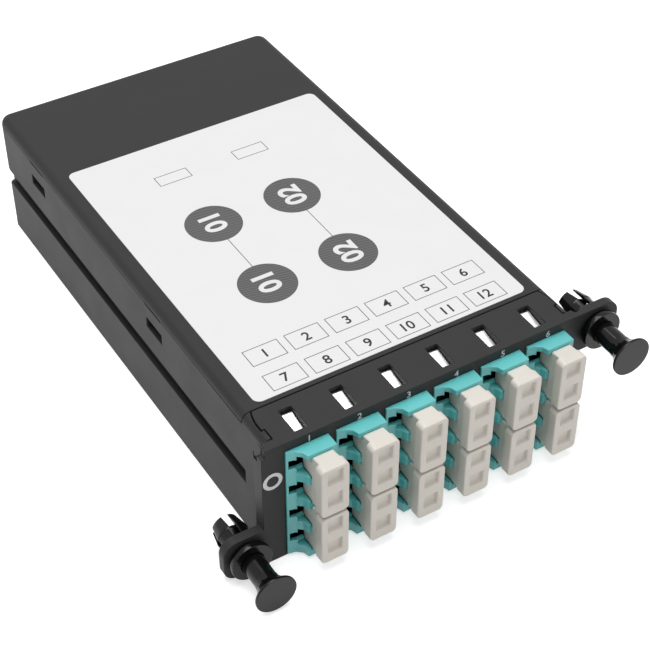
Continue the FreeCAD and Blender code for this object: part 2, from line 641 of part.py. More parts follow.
# ================================================================ push-pull fasteners
def grommet(x, z):
    """The sleeve of a push-pull fastener: a disc in front of the ear, a barrel and four prongs."""
    disc_y0 = -GROMMET_DISC_FRONT
    disc_y1 = disc_y0 + GROMMET_DISC_RIM
    shoulder_y = SHANK_START_Y - FIT
    shank_end = SHANK_START_Y + GROMMET_SHANK_LENGTH
    nose_y = shank_end + 2 * (GROMMET_NOSE_R - GROMMET_SHANK_R)
    tip_y = shank_end + GROMMET_NOSE_LENGTH
    profile = [
        (GROMMET_BORE_R, disc_y0), (GROMMET_DISC_R, disc_y0), (GROMMET_DISC_R, disc_y1),
        (GROMMET_NECK_R, 0), (GROMMET_BARREL_R, 0), (GROMMET_BARREL_R, shoulder_y),
        (GROMMET_SHANK_R, SHANK_START_Y), (GROMMET_SHANK_R, shank_end),
        (GROMMET_NOSE_R, nose_y), (GROMMET_TIP_R, tip_y), (GROMMET_BORE_R, tip_y),
    ]
    body = turned_y(x, z, profile)
    slot_y0 = EAR_THICKNESS / 2
    reach = 2 * GROMMET_DISC_R
    upright = box(x - GROMMET_SLOT / 2, x + GROMMET_SLOT / 2, slot_y0, tip_y + OVERCUT,
                  z - reach, z + reach)
    level = box(x - reach, x + reach, slot_y0, tip_y + OVERCUT,
                z - GROMMET_SLOT / 2, z + GROMMET_SLOT / 2)
    return body.cut([upright, level])


def plunger(x, z):
    """The pin of a push-pull fastener: a trumpet-shaped head, a stem and a spreading tip."""
    face = -PLUNGER_REACH
    rim_y = face + PLUNGER_RIM
    flare_y = rim_y + PLUNGER_FLARE_LENGTH
    rise = PLUNGER_HEAD_R - PLUNGER_STEM_R
    flare_r = (rise ** 2 + PLUNGER_FLARE_LENGTH ** 2) / (2 * rise)
    flare_turn = math.asin(PLUNGER_FLARE_LENGTH / flare_r)
    bulb_y = SHANK_START_Y + GROMMET_SHANK_LENGTH
    bulb_cone = PLUNGER_TIP_R - PLUNGER_WAIST_R
    tip_y = bulb_y + PLUNGER_TIP_LENGTH
    profile = [(0, face), (PLUNGER_HEAD_R, face)]
    for step in range(PLUNGER_FLARE_STEPS, -1, -1):
        turn = flare_turn * step / PLUNGER_FLARE_STEPS
        profile.append((PLUNGER_STEM_R + flare_r * (1 - math.cos(turn)),
                        flare_y - flare_r * math.sin(turn)))
    profile += [
        (PLUNGER_STEM_R, 0), (PLUNGER_WAIST_R, PLUNGER_STEM_R - PLUNGER_WAIST_R),
        (PLUNGER_WAIST_R, bulb_y), (PLUNGER_TIP_R, bulb_y + bulb_cone),
        (PLUNGER_TIP_R, tip_y - bulb_cone), (PLUNGER_WAIST_R, tip_y), (0, tip_y),
    ]
    return turned_y(x, z, profile)


# ================================================================ rear trunk adapters
def trunk_adapter(x):
    """A rear trunk adapter: a rectangular sleeve with a collar against the back wall."""
    half_w = TRUNK_WIDTH / 2
    half_h = TRUNK_HEIGHT / 2
    z = TRUNK_CENTRE_Z
    y1 = BACK_Y + TRUNK_REACH
    y0 = y1 - TRUNK_LENGTH
    shell = box(x - half_w, x + half_w, y0, y1, z - half_h, z + half_h)
    collar_w = half_w + TRUNK_COLLAR
    collar_h = half_h + TRUNK_COLLAR
    collar = prism_xz(rounded_outline(x - collar_w, x + collar_w, z - collar_h, z + collar_h,
                                      TRUNK_CORNER_RADIUS), BACK_Y, BACK_Y + TRUNK_COLLAR_LENGTH)
    port_w = TRUNK_PORT_WIDTH / 2
    port_h = TRUNK_PORT_HEIGHT / 2
    web_y = (y0 + y1) / 2
    key = TRUNK_KEY_WIDTH / 2
    cuts = []
    web = TRUNK_WEB / 2
    for a, b in ((y0 - OVERCUT, web_y - web), (web_y + web, y1 + OVERCUT)):
        cuts.append(box(x - port_w, x + port_w, a, b, z - port_h, z + port_h))
        cuts.append(box(x - key, x + key, a, b, z, z + port_h + key / 2))
    cuts.append(box(x - TRUNK_FERRULE_WIDTH / 2, x + TRUNK_FERRULE_WIDTH / 2, y0, y1,
                    z - TRUNK_FERRULE_HEIGHT / 2, z + TRUNK_FERRULE_HEIGHT / 2))
    return joined(shell, [collar]).cut(cuts)


def trunk_cap(x):
    """The dust plug in a trunk adapter's outer mouth."""
    z = TRUNK_CENTRE_Z
    y1 = BACK_Y + TRUNK_REACH
    play = PLUG_PLAY
    port_w = TRUNK_PORT_WIDTH / 2 - play
    port_h = TRUNK_PORT_HEIGHT / 2 - play
    stem_y = y1 - TRUNK_CAP_DEPTH
    wall = TRUNK_CAP_WALL
    stem = box(x - port_w, x + port_w, stem_y, y1 + CAP_SEAT_GAP, z - port_h, z + port_h)
    head = prism_xz(rounded_outline(x - port_w - TRUNK_COLLAR, x + port_w + TRUNK_COLLAR,
                                    z - port_h - TRUNK_COLLAR, z + port_h + TRUNK_COLLAR,
                                    TRUNK_CORNER_RADIUS),
                    y1 + CAP_SEAT_GAP, y1 + CAP_SEAT_GAP + wall)
    hollow = box(x - port_w + wall, x + port_w - wall, stem_y - OVERCUT, y1 - wall / 2,
                 z - port_h + wall, z + port_h - wall)
    return joined(head, [stem]).cut(hollow)


def trunk_plug(x):
    """The inner trunk plug, seated in the front half of a trunk adapter."""
    z = TRUNK_CENTRE_Z
    mouth = TRUNK_MOUTH_Y
    seat = BACK_Y + TRUNK_REACH - TRUNK_LENGTH / 2 - TRUNK_WEB / 2 - FIT
    half_w = TRUNK_PORT_WIDTH / 2 - PLUG_PLAY
    half_h = TRUNK_PORT_HEIGHT / 2 - PLUG_PLAY
    nose = box(x - half_w, x + half_w, mouth - TRUNK_PLUG_TAIL / 2, seat, z - half_h, z + half_h)
    grip_w = half_w + TRUNK_GRIP_STEP
    grip_h = half_h + TRUNK_GRIP_STEP
    grip = box(x - grip_w, x + grip_w, mouth - TRUNK_PLUG_TAIL, mouth - TRUNK_GRIP_GAP,
               z - grip_h, z + grip_h)
    return joined(grip, [nose])


# ================================================================ inner wiring
def inner_plugs(index):
    """The four plugs behind one adapter, each with its ferrule and strain-relief boot."""
    x = adapter_left(index) + PORT_AXIS_X
    half = PORT_SIZE / 2 - PLUG_PLAY
    seat = ADAPTER_BODY_LENGTH - PORT_DEPTH + FIT
    plugs = []
    for z in port_heights():
        y0 = max(seat, SLEEVE_MID_Y + SLEEVE_LENGTH / 2 + FIT)
        y1 = y0 + INNER_PLUG_LENGTH
        housing = box(x - half, x + half, y0, y1, z - half, z + half)
        ferrule = prism_y(x, z, FERRULE_R, SMALL_SIDES, SLEEVE_MID_Y + FIT, y0)
        boot = taper_y(x, z, half - INNER_BOOT_STEP, 2 * FIBRE_R, y1, y1 + INNER_BOOT_LENGTH)
        plugs.append(joined(housing, [ferrule, boot]))
    return Part.makeCompound(plugs)


def inner_plug_end():
    """Where the boots of the inner plugs end."""
    seat = max(ADAPTER_BODY_LENGTH - PORT_DEPTH, SLEEVE_MID_Y + SLEEVE_LENGTH / 2) + FIT
    return seat + INNER_PLUG_LENGTH + INNER_BOOT_LENGTH


def strand(start, run, length):
    """A straight fibre from a point along a direction."""
    turn = 2 * math.pi / SMALL_SIDES
    across = run.cross(Vector(0, 0, 1)).normalize()
    upright = run.cross(across)
    corners = [start + across * (FIBRE_R * math.cos(turn * k))
               + upright * (FIBRE_R * math.sin(turn * k)) for k in range(SMALL_SIDES)]
    return Part.Face(Part.makePolygon(corners + corners[:1])).extrude(run * length)


def fibres(index):
    """The four fibres of one adapter, from its boots to its fan-out block."""
    half_count = ADAPTER_COUNT // 2
    block_x = TRUNK_SPACING / 2 * (1 if index >= half_count else -1)
    column = index % half_count - (half_count - 1) / 2
    end_x = block_x + column * 2 * FIBRE_GRID
    start_x = adapter_left(index) + PORT_AXIS_X
    strands = []
    for row, z in enumerate(port_heights()):
        end_z = TRUNK_CENTRE_Z + (row - (PORT_COUNT - 1) / 2) * FIBRE_GRID
        start = Vector(start_x, inner_plug_end(), z)
        run = Vector(end_x, FANOUT_FRONT_Y, end_z) - start
        gap = run.normalize() * FIT * 2
        first = start + gap
        length = (Vector(end_x, FANOUT_FRONT_Y, end_z) - first).Length - FIT * 2
        strands.append(strand(first, run, length))
    return Part.makeCompound(strands)


def fanout(x):
    """The block where a trunk's jacket divides into single fibres."""
    z = TRUNK_CENTRE_Z
    half_w = FANOUT_WIDTH / 2
    half_h = FANOUT_HEIGHT / 2
    y0 = FANOUT_FRONT_Y
    y1 = FANOUT_BACK_Y
    shoulder = y1 - FANOUT_TAPER
    nose = JACKET_R + FANOUT_NOSE_WALL
    outline = [(x - half_w, y0), (x + half_w, y0), (x + half_w, shoulder),
               (x + nose, y1), (x - nose, y1), (x - half_w, shoulder)]
    return prism_xy(outline, z - half_h, z + half_h)


def trunk_jacket(x):
    """The round jacket between a fan-out block and its trunk plug."""
    return prism_y(x, TRUNK_CENTRE_Z, JACKET_R, 2 * SMALL_SIDES,
                   FANOUT_BACK_Y, TRUNK_MOUTH_Y - TRUNK_PLUG_TAIL)


def main():
    """Build every piece and write it out."""
    os.makedirs("parts", exist_ok=True)
    write("base_tray", base_tray())
    write("front_panel", front_panel())
    write("top_cover", top_cover())
    write("top_label", label())
    write("alignment_sleeves", sleeves())
    for index in range(ADAPTER_COUNT):
        number = str(index + 1)
        write("adapter_" + number, adapter(index))
        write("spring_clip_" + number, clip(index))
        write("dust_cap_" + number + "_lower", dust_cap(index, 0))
        write("dust_cap_" + number + "_upper", dust_cap(index, 2))
        write("inner_plugs_" + number, inner_plugs(index))
        write("fibres_" + number, fibres(index))
    for side, x, z in (("left", -FASTENER_X, LOW_FASTENER_Z), ("right", FASTENER_X, HIGH_FASTENER_Z)):
        write("grommet_" + side, grommet(x, z))
        write("plunger_" + side, plunger(x, z))
    for side, x in (("left", -TRUNK_SPACING / 2), ("right", TRUNK_SPACING / 2)):
        write("trunk_adapter_" + side, trunk_adapter(x))
        write("trunk_cap_" + side, trunk_cap(x))
        write("trunk_plug_" + side, trunk_plug(x))
        write("trunk_jacket_" + side, trunk_jacket(x))
        write("fanout_" + side, fanout(x))


main()
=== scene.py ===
import json
import logging
import math
from dataclasses import dataclass, replace
from enum import Enum
from typing import Callable, Sequence

import bpy
from mathutils import Matrix, Vector


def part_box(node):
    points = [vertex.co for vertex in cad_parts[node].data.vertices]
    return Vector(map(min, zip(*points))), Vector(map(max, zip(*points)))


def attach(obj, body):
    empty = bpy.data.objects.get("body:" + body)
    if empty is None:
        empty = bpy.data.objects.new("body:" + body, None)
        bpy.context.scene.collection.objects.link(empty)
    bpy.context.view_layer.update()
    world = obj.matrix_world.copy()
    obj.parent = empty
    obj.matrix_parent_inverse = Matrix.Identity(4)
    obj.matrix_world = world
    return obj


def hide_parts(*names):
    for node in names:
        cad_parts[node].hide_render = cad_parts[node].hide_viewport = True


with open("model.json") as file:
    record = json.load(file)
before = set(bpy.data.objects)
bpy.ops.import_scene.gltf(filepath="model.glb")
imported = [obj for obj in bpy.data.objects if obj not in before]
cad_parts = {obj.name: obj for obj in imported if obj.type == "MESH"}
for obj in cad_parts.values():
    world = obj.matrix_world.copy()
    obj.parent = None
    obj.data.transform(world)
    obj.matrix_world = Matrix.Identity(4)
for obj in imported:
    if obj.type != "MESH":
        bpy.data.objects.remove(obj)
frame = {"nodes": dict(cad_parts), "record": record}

LOG = logging.getLogger("fibre_cassette")
MM = 0.001
CLOSE = 0.5 * MM                    # two places nearer than this are on the same face
NEAR = 0.1 * MM                     # two places nearer than this are on the same edge
HAIR = 0.01                         # millimetres past a place, so that the place is within it
WELD = 0.002 * MM                   # corners nearer than this are merged
FACING = 0.9                        # how much of its normal lies on the axis that a face looks along
FLAT_ANGLE = math.radians(0.3)      # facets that differ by less than this are one face
SMOOTH_ANGLE = math.radians(50)     # faces that meet at less than this are shaded as one
QUARTER_TURN = math.radians(90)
ROOT = "cassette"
ADAPTERS = 6
PORTS = 4
PORT_PITCH = 6.25                   # millimetres from one port of an adapter to the next
Colour = tuple[float, float, float]
PlaceTest = Callable[[Vector, Vector], bool]


class Part(Enum):
    """What a selection is made of."""

    FACE = "FACE"
    EDGE = "EDGE"


class Along(Enum):
    """The axis of a round slab, with the turns that bring it there from standing."""

    Y = (QUARTER_TURN, 0.0, 0.0)
    Z = (0.0, 0.0, 0.0)


# ------------------------------------------------------------------ modelling by hand
class Bench:
    """The modelling operators, with what they act on selected in code by place and normal."""

    @staticmethod
    def clear() -> None:
        """Leaves edit mode and deselects everything."""
        if bpy.context.object and bpy.context.object.mode != "OBJECT":
            bpy.ops.object.mode_set(mode="OBJECT")
        bpy.ops.object.select_all(action="DESELECT")

    @staticmethod
    def pick(piece: bpy.types.Object) -> None:
        """Makes one piece the only selected one, and active."""
        Bench.clear()
        piece.select_set(True)
        bpy.context.view_layer.objects.active = piece

    @staticmethod
    def settle(piece: bpy.types.Object) -> None:
        """Moves a piece's place, turn and size into its mesh."""
        Bench.pick(piece)
        bpy.ops.object.transform_apply(location=True, rotation=True, scale=True)

    @staticmethod
    def block(name: str, low: Sequence[float], high: Sequence[float]) -> bpy.types.Object:
        """Adds a cube and sizes it between two corners.

        Args:
            name: the piece's name.
            low: the lowest corner, in metres.
            high: the highest corner, in metres.

        Returns:
            The new object, with its place in its mesh.
        """
        Bench.clear()
        middle = [(a + b) / 2 for a, b in zip(low, high)]
        bpy.ops.mesh.primitive_cube_add(size=1.0, location=middle)
        piece = bpy.context.object
        piece.name = name
        piece.scale = [b - a for a, b in zip(low, high)]
        Bench.settle(piece)
        return piece

    @staticmethod
    def drum(name: str, centre: Vector, radius: float, depth: float, along: Along = Along.Z,
             sides: int = 96) -> bpy.types.Object:
        """Adds a round slab.

        Args:
            name: the piece's name.
            centre: its middle, in metres.
            radius: its radius, in metres.
            depth: its length along its axis, in metres.
            along: its axis.
            sides: how many sides stand for the circle.

        Returns:
            The new object, with its place in its mesh.
        """
        Bench.clear()
        bpy.ops.mesh.primitive_cylinder_add(vertices=sides, radius=radius, depth=depth,
                                            location=centre, rotation=along.value)
        piece = bpy.context.object
        piece.name = name
        Bench.settle(piece)
        return piece

    @staticmethod
    def select(piece: bpy.types.Object, part: Part, test: PlaceTest) -> None:
        """Enters edit mode with only what passes a test selected.

        Args:
            piece: the mesh to edit.
            part: whether faces or edges are selected.
            test: takes a face's centre and normal, or an edge's two ends.
        """
        Bench.pick(piece)
        bpy.ops.object.mode_set(mode="EDIT")
        bpy.ops.mesh.select_mode(type=part.value)
        bpy.ops.mesh.select_all(action="DESELECT")
        bpy.ops.object.mode_set(mode="OBJECT")
        mesh = piece.data
        if part is Part.FACE:
            for face in mesh.polygons:
                face.select = test(face.center, face.normal)
        else:
            for edge in mesh.edges:
                first, second = (mesh.vertices[i].co for i in edge.vertices)
                edge.select = test(first, second)
        bpy.ops.object.mode_set(mode="EDIT")

    @staticmethod
    def everything(piece: bpy.types.Object) -> None:
        """Enters edit mode with the whole mesh selected."""
        Bench.pick(piece)
        bpy.ops.object.mode_set(mode="EDIT")
        bpy.ops.mesh.select_mode(type=Part.FACE.value)
        bpy.ops.mesh.select_all(action="SELECT")

    @staticmethod
    def leave() -> None:
        """Goes back to object mode."""
        bpy.ops.object.mode_set(mode="OBJECT")

    @staticmethod
    def slice(piece: bpy.types.Object, axis: int, places: Sequence[float]) -> None:
        """Cuts edge lines round a mesh at places along an axis, and keeps both sides.

        Args:
            piece: the mesh to cut.
            axis: 0, 1 or 2 for X, Y or Z.
            places: where on the axis the cuts are, in metres.
        """
        normal = [0.0, 0.0, 0.0]
        normal[axis] = 1.0
        for place in places:
            Bench.everything(piece)
            point = [0.0, 0.0, 0.0]
            point[axis] = place
            bpy.ops.mesh.bisect(plane_co=point, plane_no=normal)
            Bench.leave()

    @staticmethod
    def push(offset: Sequence[float]) -> None:
        """Extrudes the selected faces as one region and moves them by an offset."""
        bpy.ops.mesh.extrude_region_move(TRANSFORM_OT_translate={"value": tuple(offset)})

    @staticmethod
    def apply(piece: bpy.types.Object, kind: str, **settings: object) -> None:
        """Adds a modifier with some settings and applies it.

        Args:
            piece: the mesh that it works on.
            kind: the modifier's type.
            settings: the modifier's own values, by name.
        """
        Bench.pick(piece)
        bpy.ops.object.modifier_add(type=kind)
        modifier = piece.modifiers[-1]
        for key, value in settings.items():
            setattr(modifier, key, value)
        bpy.ops.object.modifier_apply(modifier=modifier.name)

    @staticmethod
    def soften(piece: bpy.types.Object, radius: float, segments: int, sharp: float = 28.0) -> None:
        """Rounds every sharp edge a little and shades the piece smooth with flat faces kept flat.

        Args:
            piece: the mesh.
            radius: the edges' radius, in metres.
            segments: how many strips each rounded edge gets.
            sharp: the angle in degrees above which an edge is rounded.
        """
        Bench.apply(piece, "BEVEL", width=radius, segments=segments, limit_method="ANGLE",
                    angle_limit=math.radians(sharp), use_clamp_overlap=False)
        bpy.ops.object.shade_smooth_by_angle(angle=SMOOTH_ANGLE)
        Bench.apply(piece, "WEIGHTED_NORMAL", keep_sharp=True)

    @staticmethod
    def copy(piece: bpy.types.Object, name: str, offset: Sequence[float]) -> bpy.types.Object:
        """Copies a piece with its own mesh, moved by an offset.

        Args:
            piece: the piece to copy.
            name: the copy's name.
            offset: how far the copy's mesh is moved, in metres.

        Returns:
            The copy.
        """
        twin = piece.copy()
        twin.data = piece.data.copy()
        twin.name = name
        bpy.context.scene.collection.objects.link(twin)
        twin.data.transform(Matrix.Translation(offset))
        return twin

    @staticmethod
    def join(pieces: Sequence[bpy.types.Object], name: str) -> bpy.types.Object:
        """Joins several pieces into the first one and names it.

        Args:
            pieces: the pieces, of which the first stays.
            name: the joined piece's name.

        Returns:
            The joined piece.
        """
        Bench.pick(pieces[0])
        for piece in pieces[1:]:
            piece.select_set(True)
        if len(pieces) > 1:
            bpy.ops.object.join()
        bpy.context.object.name = name
        return bpy.context.object


# ------------------------------------------------------------------ shared shader effects
class Effects:
    """Shader node groups for the finishes, each built once."""

    FINE_DETAIL = 3.0
    BROAD_SCALE = 140.0
    BROAD_DETAIL = 5.0
    BROAD_RANGE = (0.3, 0.7)
    built: dict[str, bpy.types.NodeTree] = {}

    @classmethod
    def grain(cls) -> bpy.types.NodeTree:
        """Moulding grain.

        Returns:
            A group that gives a fine height, a colour that wanders a little, and a roughness
            that changes over the surface.
        """
        if "grain" in cls.built:
            return cls.built["grain"]
        tree = bpy.data.node_groups.new("moulding_grain", "ShaderNodeTree")
        face = tree.interface
        for name in ("Scale", "Mottle", "Roughness"):
            face.new_socket(name=name, in_out="INPUT", socket_type="NodeSocketFloat")
        face.new_socket(name="Colour", in_out="INPUT", socket_type="NodeSocketColor")
        face.new_socket(name="Height", in_out="OUTPUT", socket_type="NodeSocketFloat")
        face.new_socket(name="Colour", in_out="OUTPUT", socket_type="NodeSocketColor")
        face.new_socket(name="Roughness", in_out="OUTPUT", socket_type="NodeSocketFloat")
        nodes, links = tree.nodes, tree.links
        enter = nodes.new("NodeGroupInput")
        leave = nodes.new("NodeGroupOutput")
        place = nodes.new("ShaderNodeTexCoord")
        fine = cls.noise(tree, place, cls.FINE_DETAIL)
        links.new(enter.outputs["Scale"], fine.inputs["Scale"])
        links.new(fine.outputs["Fac"], leave.inputs["Height"])
        broad = cls.noise(tree, place, cls.BROAD_DETAIL)
        broad.inputs["Scale"].default_value = cls.BROAD_SCALE
        spread = nodes.new("ShaderNodeMapRange")
        spread.inputs["From Min"].default_value, spread.inputs["From Max"].default_value = (
            cls.BROAD_RANGE)
        spread.inputs["To Min"].default_value = -1.0
        links.new(broad.outputs["Fac"], spread.inputs["Value"])
        amount = nodes.new("ShaderNodeMath")
        amount.operation = "MULTIPLY_ADD"
        amount.inputs[2].default_value = 1.0
        links.new(spread.outputs["Result"], amount.inputs[0])
        links.new(enter.outputs["Mottle"], amount.inputs[1])
        tint = nodes.new("ShaderNodeVectorMath")
        tint.operation = "SCALE"
        links.new(enter.outputs["Colour"], tint.inputs[0])
        links.new(amount.outputs[0], tint.inputs["Scale"])
        links.new(tint.outputs["Vector"], leave.inputs["Colour"])
        dull = nodes.new("ShaderNodeMath")
        dull.operation = "MULTIPLY"
        links.new(enter.outputs["Roughness"], dull.inputs[0])
        links.new(amount.outputs[0], dull.inputs[1])
        links.new(dull.outputs[0], leave.inputs["Roughness"])
        cls.built["grain"] = tree
        return tree

    @staticmethod
    def noise(tree: bpy.types.NodeTree, place: bpy.types.Node, detail: float) -> bpy.types.Node:
        """A noise texture on Object coordinates.

        Args:
            tree: the node tree that it goes in.
            place: the texture coordinate node.
            detail: how many finer layers it has.

        Returns:
            The noise node.
        """
        noise = tree.nodes.new("ShaderNodeTexNoise")
        noise.inputs["Detail"].default_value = detail
        tree.links.new(place.outputs["Object"], noise.inputs["Vector"])
        return noise

    @classmethod
    def screen(cls) -> bpy.types.NodeTree:
        """A printer's line screen.

        Returns:
            A group that mixes ink and film in fine slanting lines.
        """
        if "screen" in cls.built:
            return cls.built["screen"]
        tree = bpy.data.node_groups.new("line_screen", "ShaderNodeTree")
        face = tree.interface
        for name in ("Ink", "Film"):
            face.new_socket(name=name, in_out="INPUT", socket_type="NodeSocketColor")
        face.new_socket(name="Scale", in_out="INPUT", socket_type="NodeSocketFloat")
        face.new_socket(name="Colour", in_out="OUTPUT", socket_type="NodeSocketColor")
        nodes, links = tree.nodes, tree.links
        enter = nodes.new("NodeGroupInput")
        leave = nodes.new("NodeGroupOutput")
        place = nodes.new("ShaderNodeTexCoord")
        wave = nodes.new("ShaderNodeTexWave")
        wave.bands_direction = "DIAGONAL"
        links.new(place.outputs["Object"], wave.inputs["Vector"])
        links.new(enter.outputs["Scale"], wave.inputs["Scale"])
        mix = nodes.new("ShaderNodeMix")
        mix.data_type = "RGBA"
        links.new(wave.outputs["Fac"], mix.inputs["Factor"])
        links.new(enter.outputs["Ink"], mix.inputs["A"])
        links.new(enter.outputs["Film"], mix.inputs["B"])
        links.new(mix.outputs["Result"], leave.inputs["Colour"])
        cls.built["screen"] = tree
        return tree


# ------------------------------------------------------------------ finishes
GLOW_SPREAD = (1.0, 0.9, 0.8)       # how far red, green and blue carry, against each other
GLOW_REACH = 1.5 * MM
SCREEN_SCALE = 900.0


@dataclass(frozen=True)
class Finish:
    """A surface with a fine grain: moulded plastic, print, ceramic or metal.

    Attributes:
        name: the material's name.
        colour: its linear colour.
        roughness: how dull it is.
        grain: grains per metre.
        depth: the grain's height in metres.
        mottle: how far the colour and the roughness wander.
        specular: the specular level.
        glow: how far light carries under the surface.
        metallic: 1 for metal.
        screen: the second ink of a printed line screen, if it has one.
    """

    name: str
    colour: Colour
    roughness: float = 0.5
    grain: float = 4000.0
    depth: float = 0.00002
    mottle: float = 0.04
    specular: float = 0.5
    glow: float = 0.0
    metallic: float = 0.0
    screen: Colour | None = None

    def material(self) -> bpy.types.Material:
        """Builds the material, or finds it if it exists.

        Returns:
            The material, with its grain, bump and shader.
        """
        label = f"{self.name}_finish"
        found = bpy.data.materials.get(label)
        if found:
            return found
        material = bpy.data.materials.new(label)
        material.use_nodes = True
        nodes, links = material.node_tree.nodes, material.node_tree.links
        shader = nodes["Principled BSDF"]
        shader.inputs["Specular IOR Level"].default_value = self.specular
        shader.inputs["Metallic"].default_value = self.metallic
        if self.glow:
            shader.inputs["Subsurface Weight"].default_value = self.glow
            shader.inputs["Subsurface Radius"].default_value = GLOW_SPREAD
            shader.inputs["Subsurface Scale"].default_value = GLOW_REACH
        effect = nodes.new("ShaderNodeGroup")
        effect.node_tree = Effects.grain()
        effect.inputs["Scale"].default_value = self.grain
        effect.inputs["Mottle"].default_value = self.mottle
        effect.inputs["Roughness"].default_value = self.roughness
        if self.screen:
            lines = nodes.new("ShaderNodeGroup")
            lines.node_tree = Effects.screen()
            lines.inputs["Ink"].default_value = (*self.colour, 1.0)
            lines.inputs["Film"].default_value = (*self.screen, 1.0)
            lines.inputs["Scale"].default_value = SCREEN_SCALE
            links.new(lines.outputs["Colour"], effect.inputs["Colour"])
        else:
            effect.inputs["Colour"].default_value = (*self.colour, 1.0)
        bump = nodes.new("ShaderNodeBump")
        bump.inputs["Distance"].default_value = self.depth
        links.new(effect.outputs["Height"], bump.inputs["Height"])
        links.new(effect.outputs["Colour"], shader.inputs["Base Color"])
        links.new(effect.outputs["Roughness"], shader.inputs["Roughness"])
        links.new(bump.outputs["Normal"], shader.inputs["Normal"])
        return material


HOUSING = Finish("housing", (0.032, 0.032, 0.032), roughness=0.5, grain=5500.0,
                 depth=0.000012, mottle=0.06, specular=0.15)
AQUA = Finish("adapter", (0.13, 0.54, 0.54), roughness=0.25, grain=3000.0,
              depth=0.000004, mottle=0.05, specular=0.5, glow=0.2)
CAP = Finish("cap", (0.70, 0.66, 0.60), roughness=0.42, grain=3000.0,
             depth=0.000006, mottle=0.02, specular=0.45, glow=0.1)
FASTENER = Finish("fastener", (0.004, 0.004, 0.004), roughness=0.16, grain=3000.0,
                  depth=0.000003, mottle=0.05, specular=0.26)
STEEL = Finish("sprung_steel", (0.93, 0.93, 0.92), roughness=0.3, grain=2500.0,
               depth=0.000002, mottle=0.02, metallic=1.0)
CERAMIC = Finish("ceramic", (0.88, 0.87, 0.82), roughness=0.2, grain=3000.0,
                 depth=0.000002, mottle=0.02)
PLUG = Finish("plug", (0.35, 0.50, 0.55), roughness=0.45, grain=3000.0,
              depth=0.000005, mottle=0.03)
FIBRE = Finish("fibre_coating", (0.10, 0.50, 0.52), roughness=0.4, grain=4000.0,
               depth=0.000003, mottle=0.04)
LABEL = Finish("label_film", (0.76, 0.76, 0.76), roughness=0.5, grain=6000.0,
               depth=0.000003, mottle=0.008, specular=0.3)
INK = Finish("print_dark", (0.02, 0.02, 0.02), roughness=0.55, grain=6000.0,
             depth=0.000002, mottle=0.02, specular=0.3)
INK_LINE = replace(INK, name="print_line", colour=(0.12, 0.12, 0.12))
INK_PALE = replace(INK, name="print_pale", colour=(0.62, 0.62, 0.62))
INK_WHITE = replace(INK, name="print_white", colour=(0.74, 0.74, 0.74))
DISC = replace(INK, name="print_disc", colour=(0.05, 0.05, 0.05), screen=(0.15, 0.15, 0.15))


class CadFinish(Enum):
    """Which finish each kind of CAD piece gets, by the start of its name."""

    base_tray = HOUSING
    front_panel = HOUSING
    top_cover = HOUSING
    top_label = LABEL
    adapter_ = AQUA
    trunk_adapter_ = AQUA
    dust_cap_ = CAP
    trunk_cap_ = CAP
    spring_clip_ = STEEL
    grommet_ = FASTENER
    plunger_ = FASTENER
    alignment_sleeves = CERAMIC
    inner_plugs_ = PLUG
    fanout_ = PLUG
    trunk_plug_ = PLUG
    fibres_ = FIBRE
    trunk_jacket_ = FIBRE


def finish_of(node: str) -> Finish:
    """Finds the finish of a CAD node by the start of its name.

    Args:
        node: the node's name.

    Returns:
        Its finish.
    """
    for kind, member in CadFinish.__members__.items():
        if node.startswith(kind):
            return member.value
    raise KeyError(node)


def dress(piece: bpy.types.Object, finish: Finish) -> None:
    """Puts one finish on the whole of a piece."""
    piece.data.materials.clear()
    piece.data.materials.append(finish.material())


def mount(piece: bpy.types.Object, body: str, finish: Finish) -> None:
    """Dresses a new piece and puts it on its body.

    Args:
        piece: the finished piece.
        body: the body that it moves with.
        finish: its finish.
    """
    dress(piece, finish)
    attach(piece, body)
    LOG.info("%s: %d faces on %s", piece.name, len(piece.data.polygons), body)


# ------------------------------------------------------------------ mouldings with soft edges
@dataclass(frozen=True)
class Moulding:
    """A CAD moulding copied with the small radius that a mould leaves on every edge.

    Attributes:
        node: the CAD node it stands for.
        slot: the record's material slot; not used.
        edge: the edges' radius in millimetres.
        segments: strips in each rounded edge.
    """

    node: str
    slot: str
    edge: float = 0.12
    segments: int = 2

    def build(self) -> bpy.types.Object:
        """Merges a copy of the node, joins its flat facets and rounds its edges.

        Returns:
            The piece that stands for the node.
        """
        piece = bpy.data.objects.new(f"{self.node}_moulding", frame["nodes"][self.node].data.copy())
        bpy.context.scene.collection.objects.link(piece)
        Bench.everything(piece)
        bpy.ops.mesh.remove_doubles(threshold=WELD)
        bpy.ops.mesh.dissolve_limited(angle_limit=FLAT_ANGLE)
        Bench.leave()
        self.shape(piece)
        Bench.soften(piece, self.edge * MM, self.segments)
        body = next(name for name, nodes in frame["record"]["behaviour"]["bodies"].items()
                    if self.node in nodes)
        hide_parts(self.node)
        mount(piece, body, finish_of(self.node))
        return piece

    def shape(self, piece: bpy.types.Object) -> None:
        """Works on the copy before its edges are rounded; a plain moulding stays as it is."""


def port_heights(low: Vector, high: Vector) -> list[float]:
    """The heights of the middles of an adapter's ports.

    Args:
        low: the adapter's lowest corner.
        high: its highest corner.

    Returns:
        The heights in metres, from the lowest port up.
    """
    middle = (low.z + high.z) / 2
    return [middle + (step - (PORTS - 1) / 2) * PORT_PITCH * MM for step in range(PORTS)]


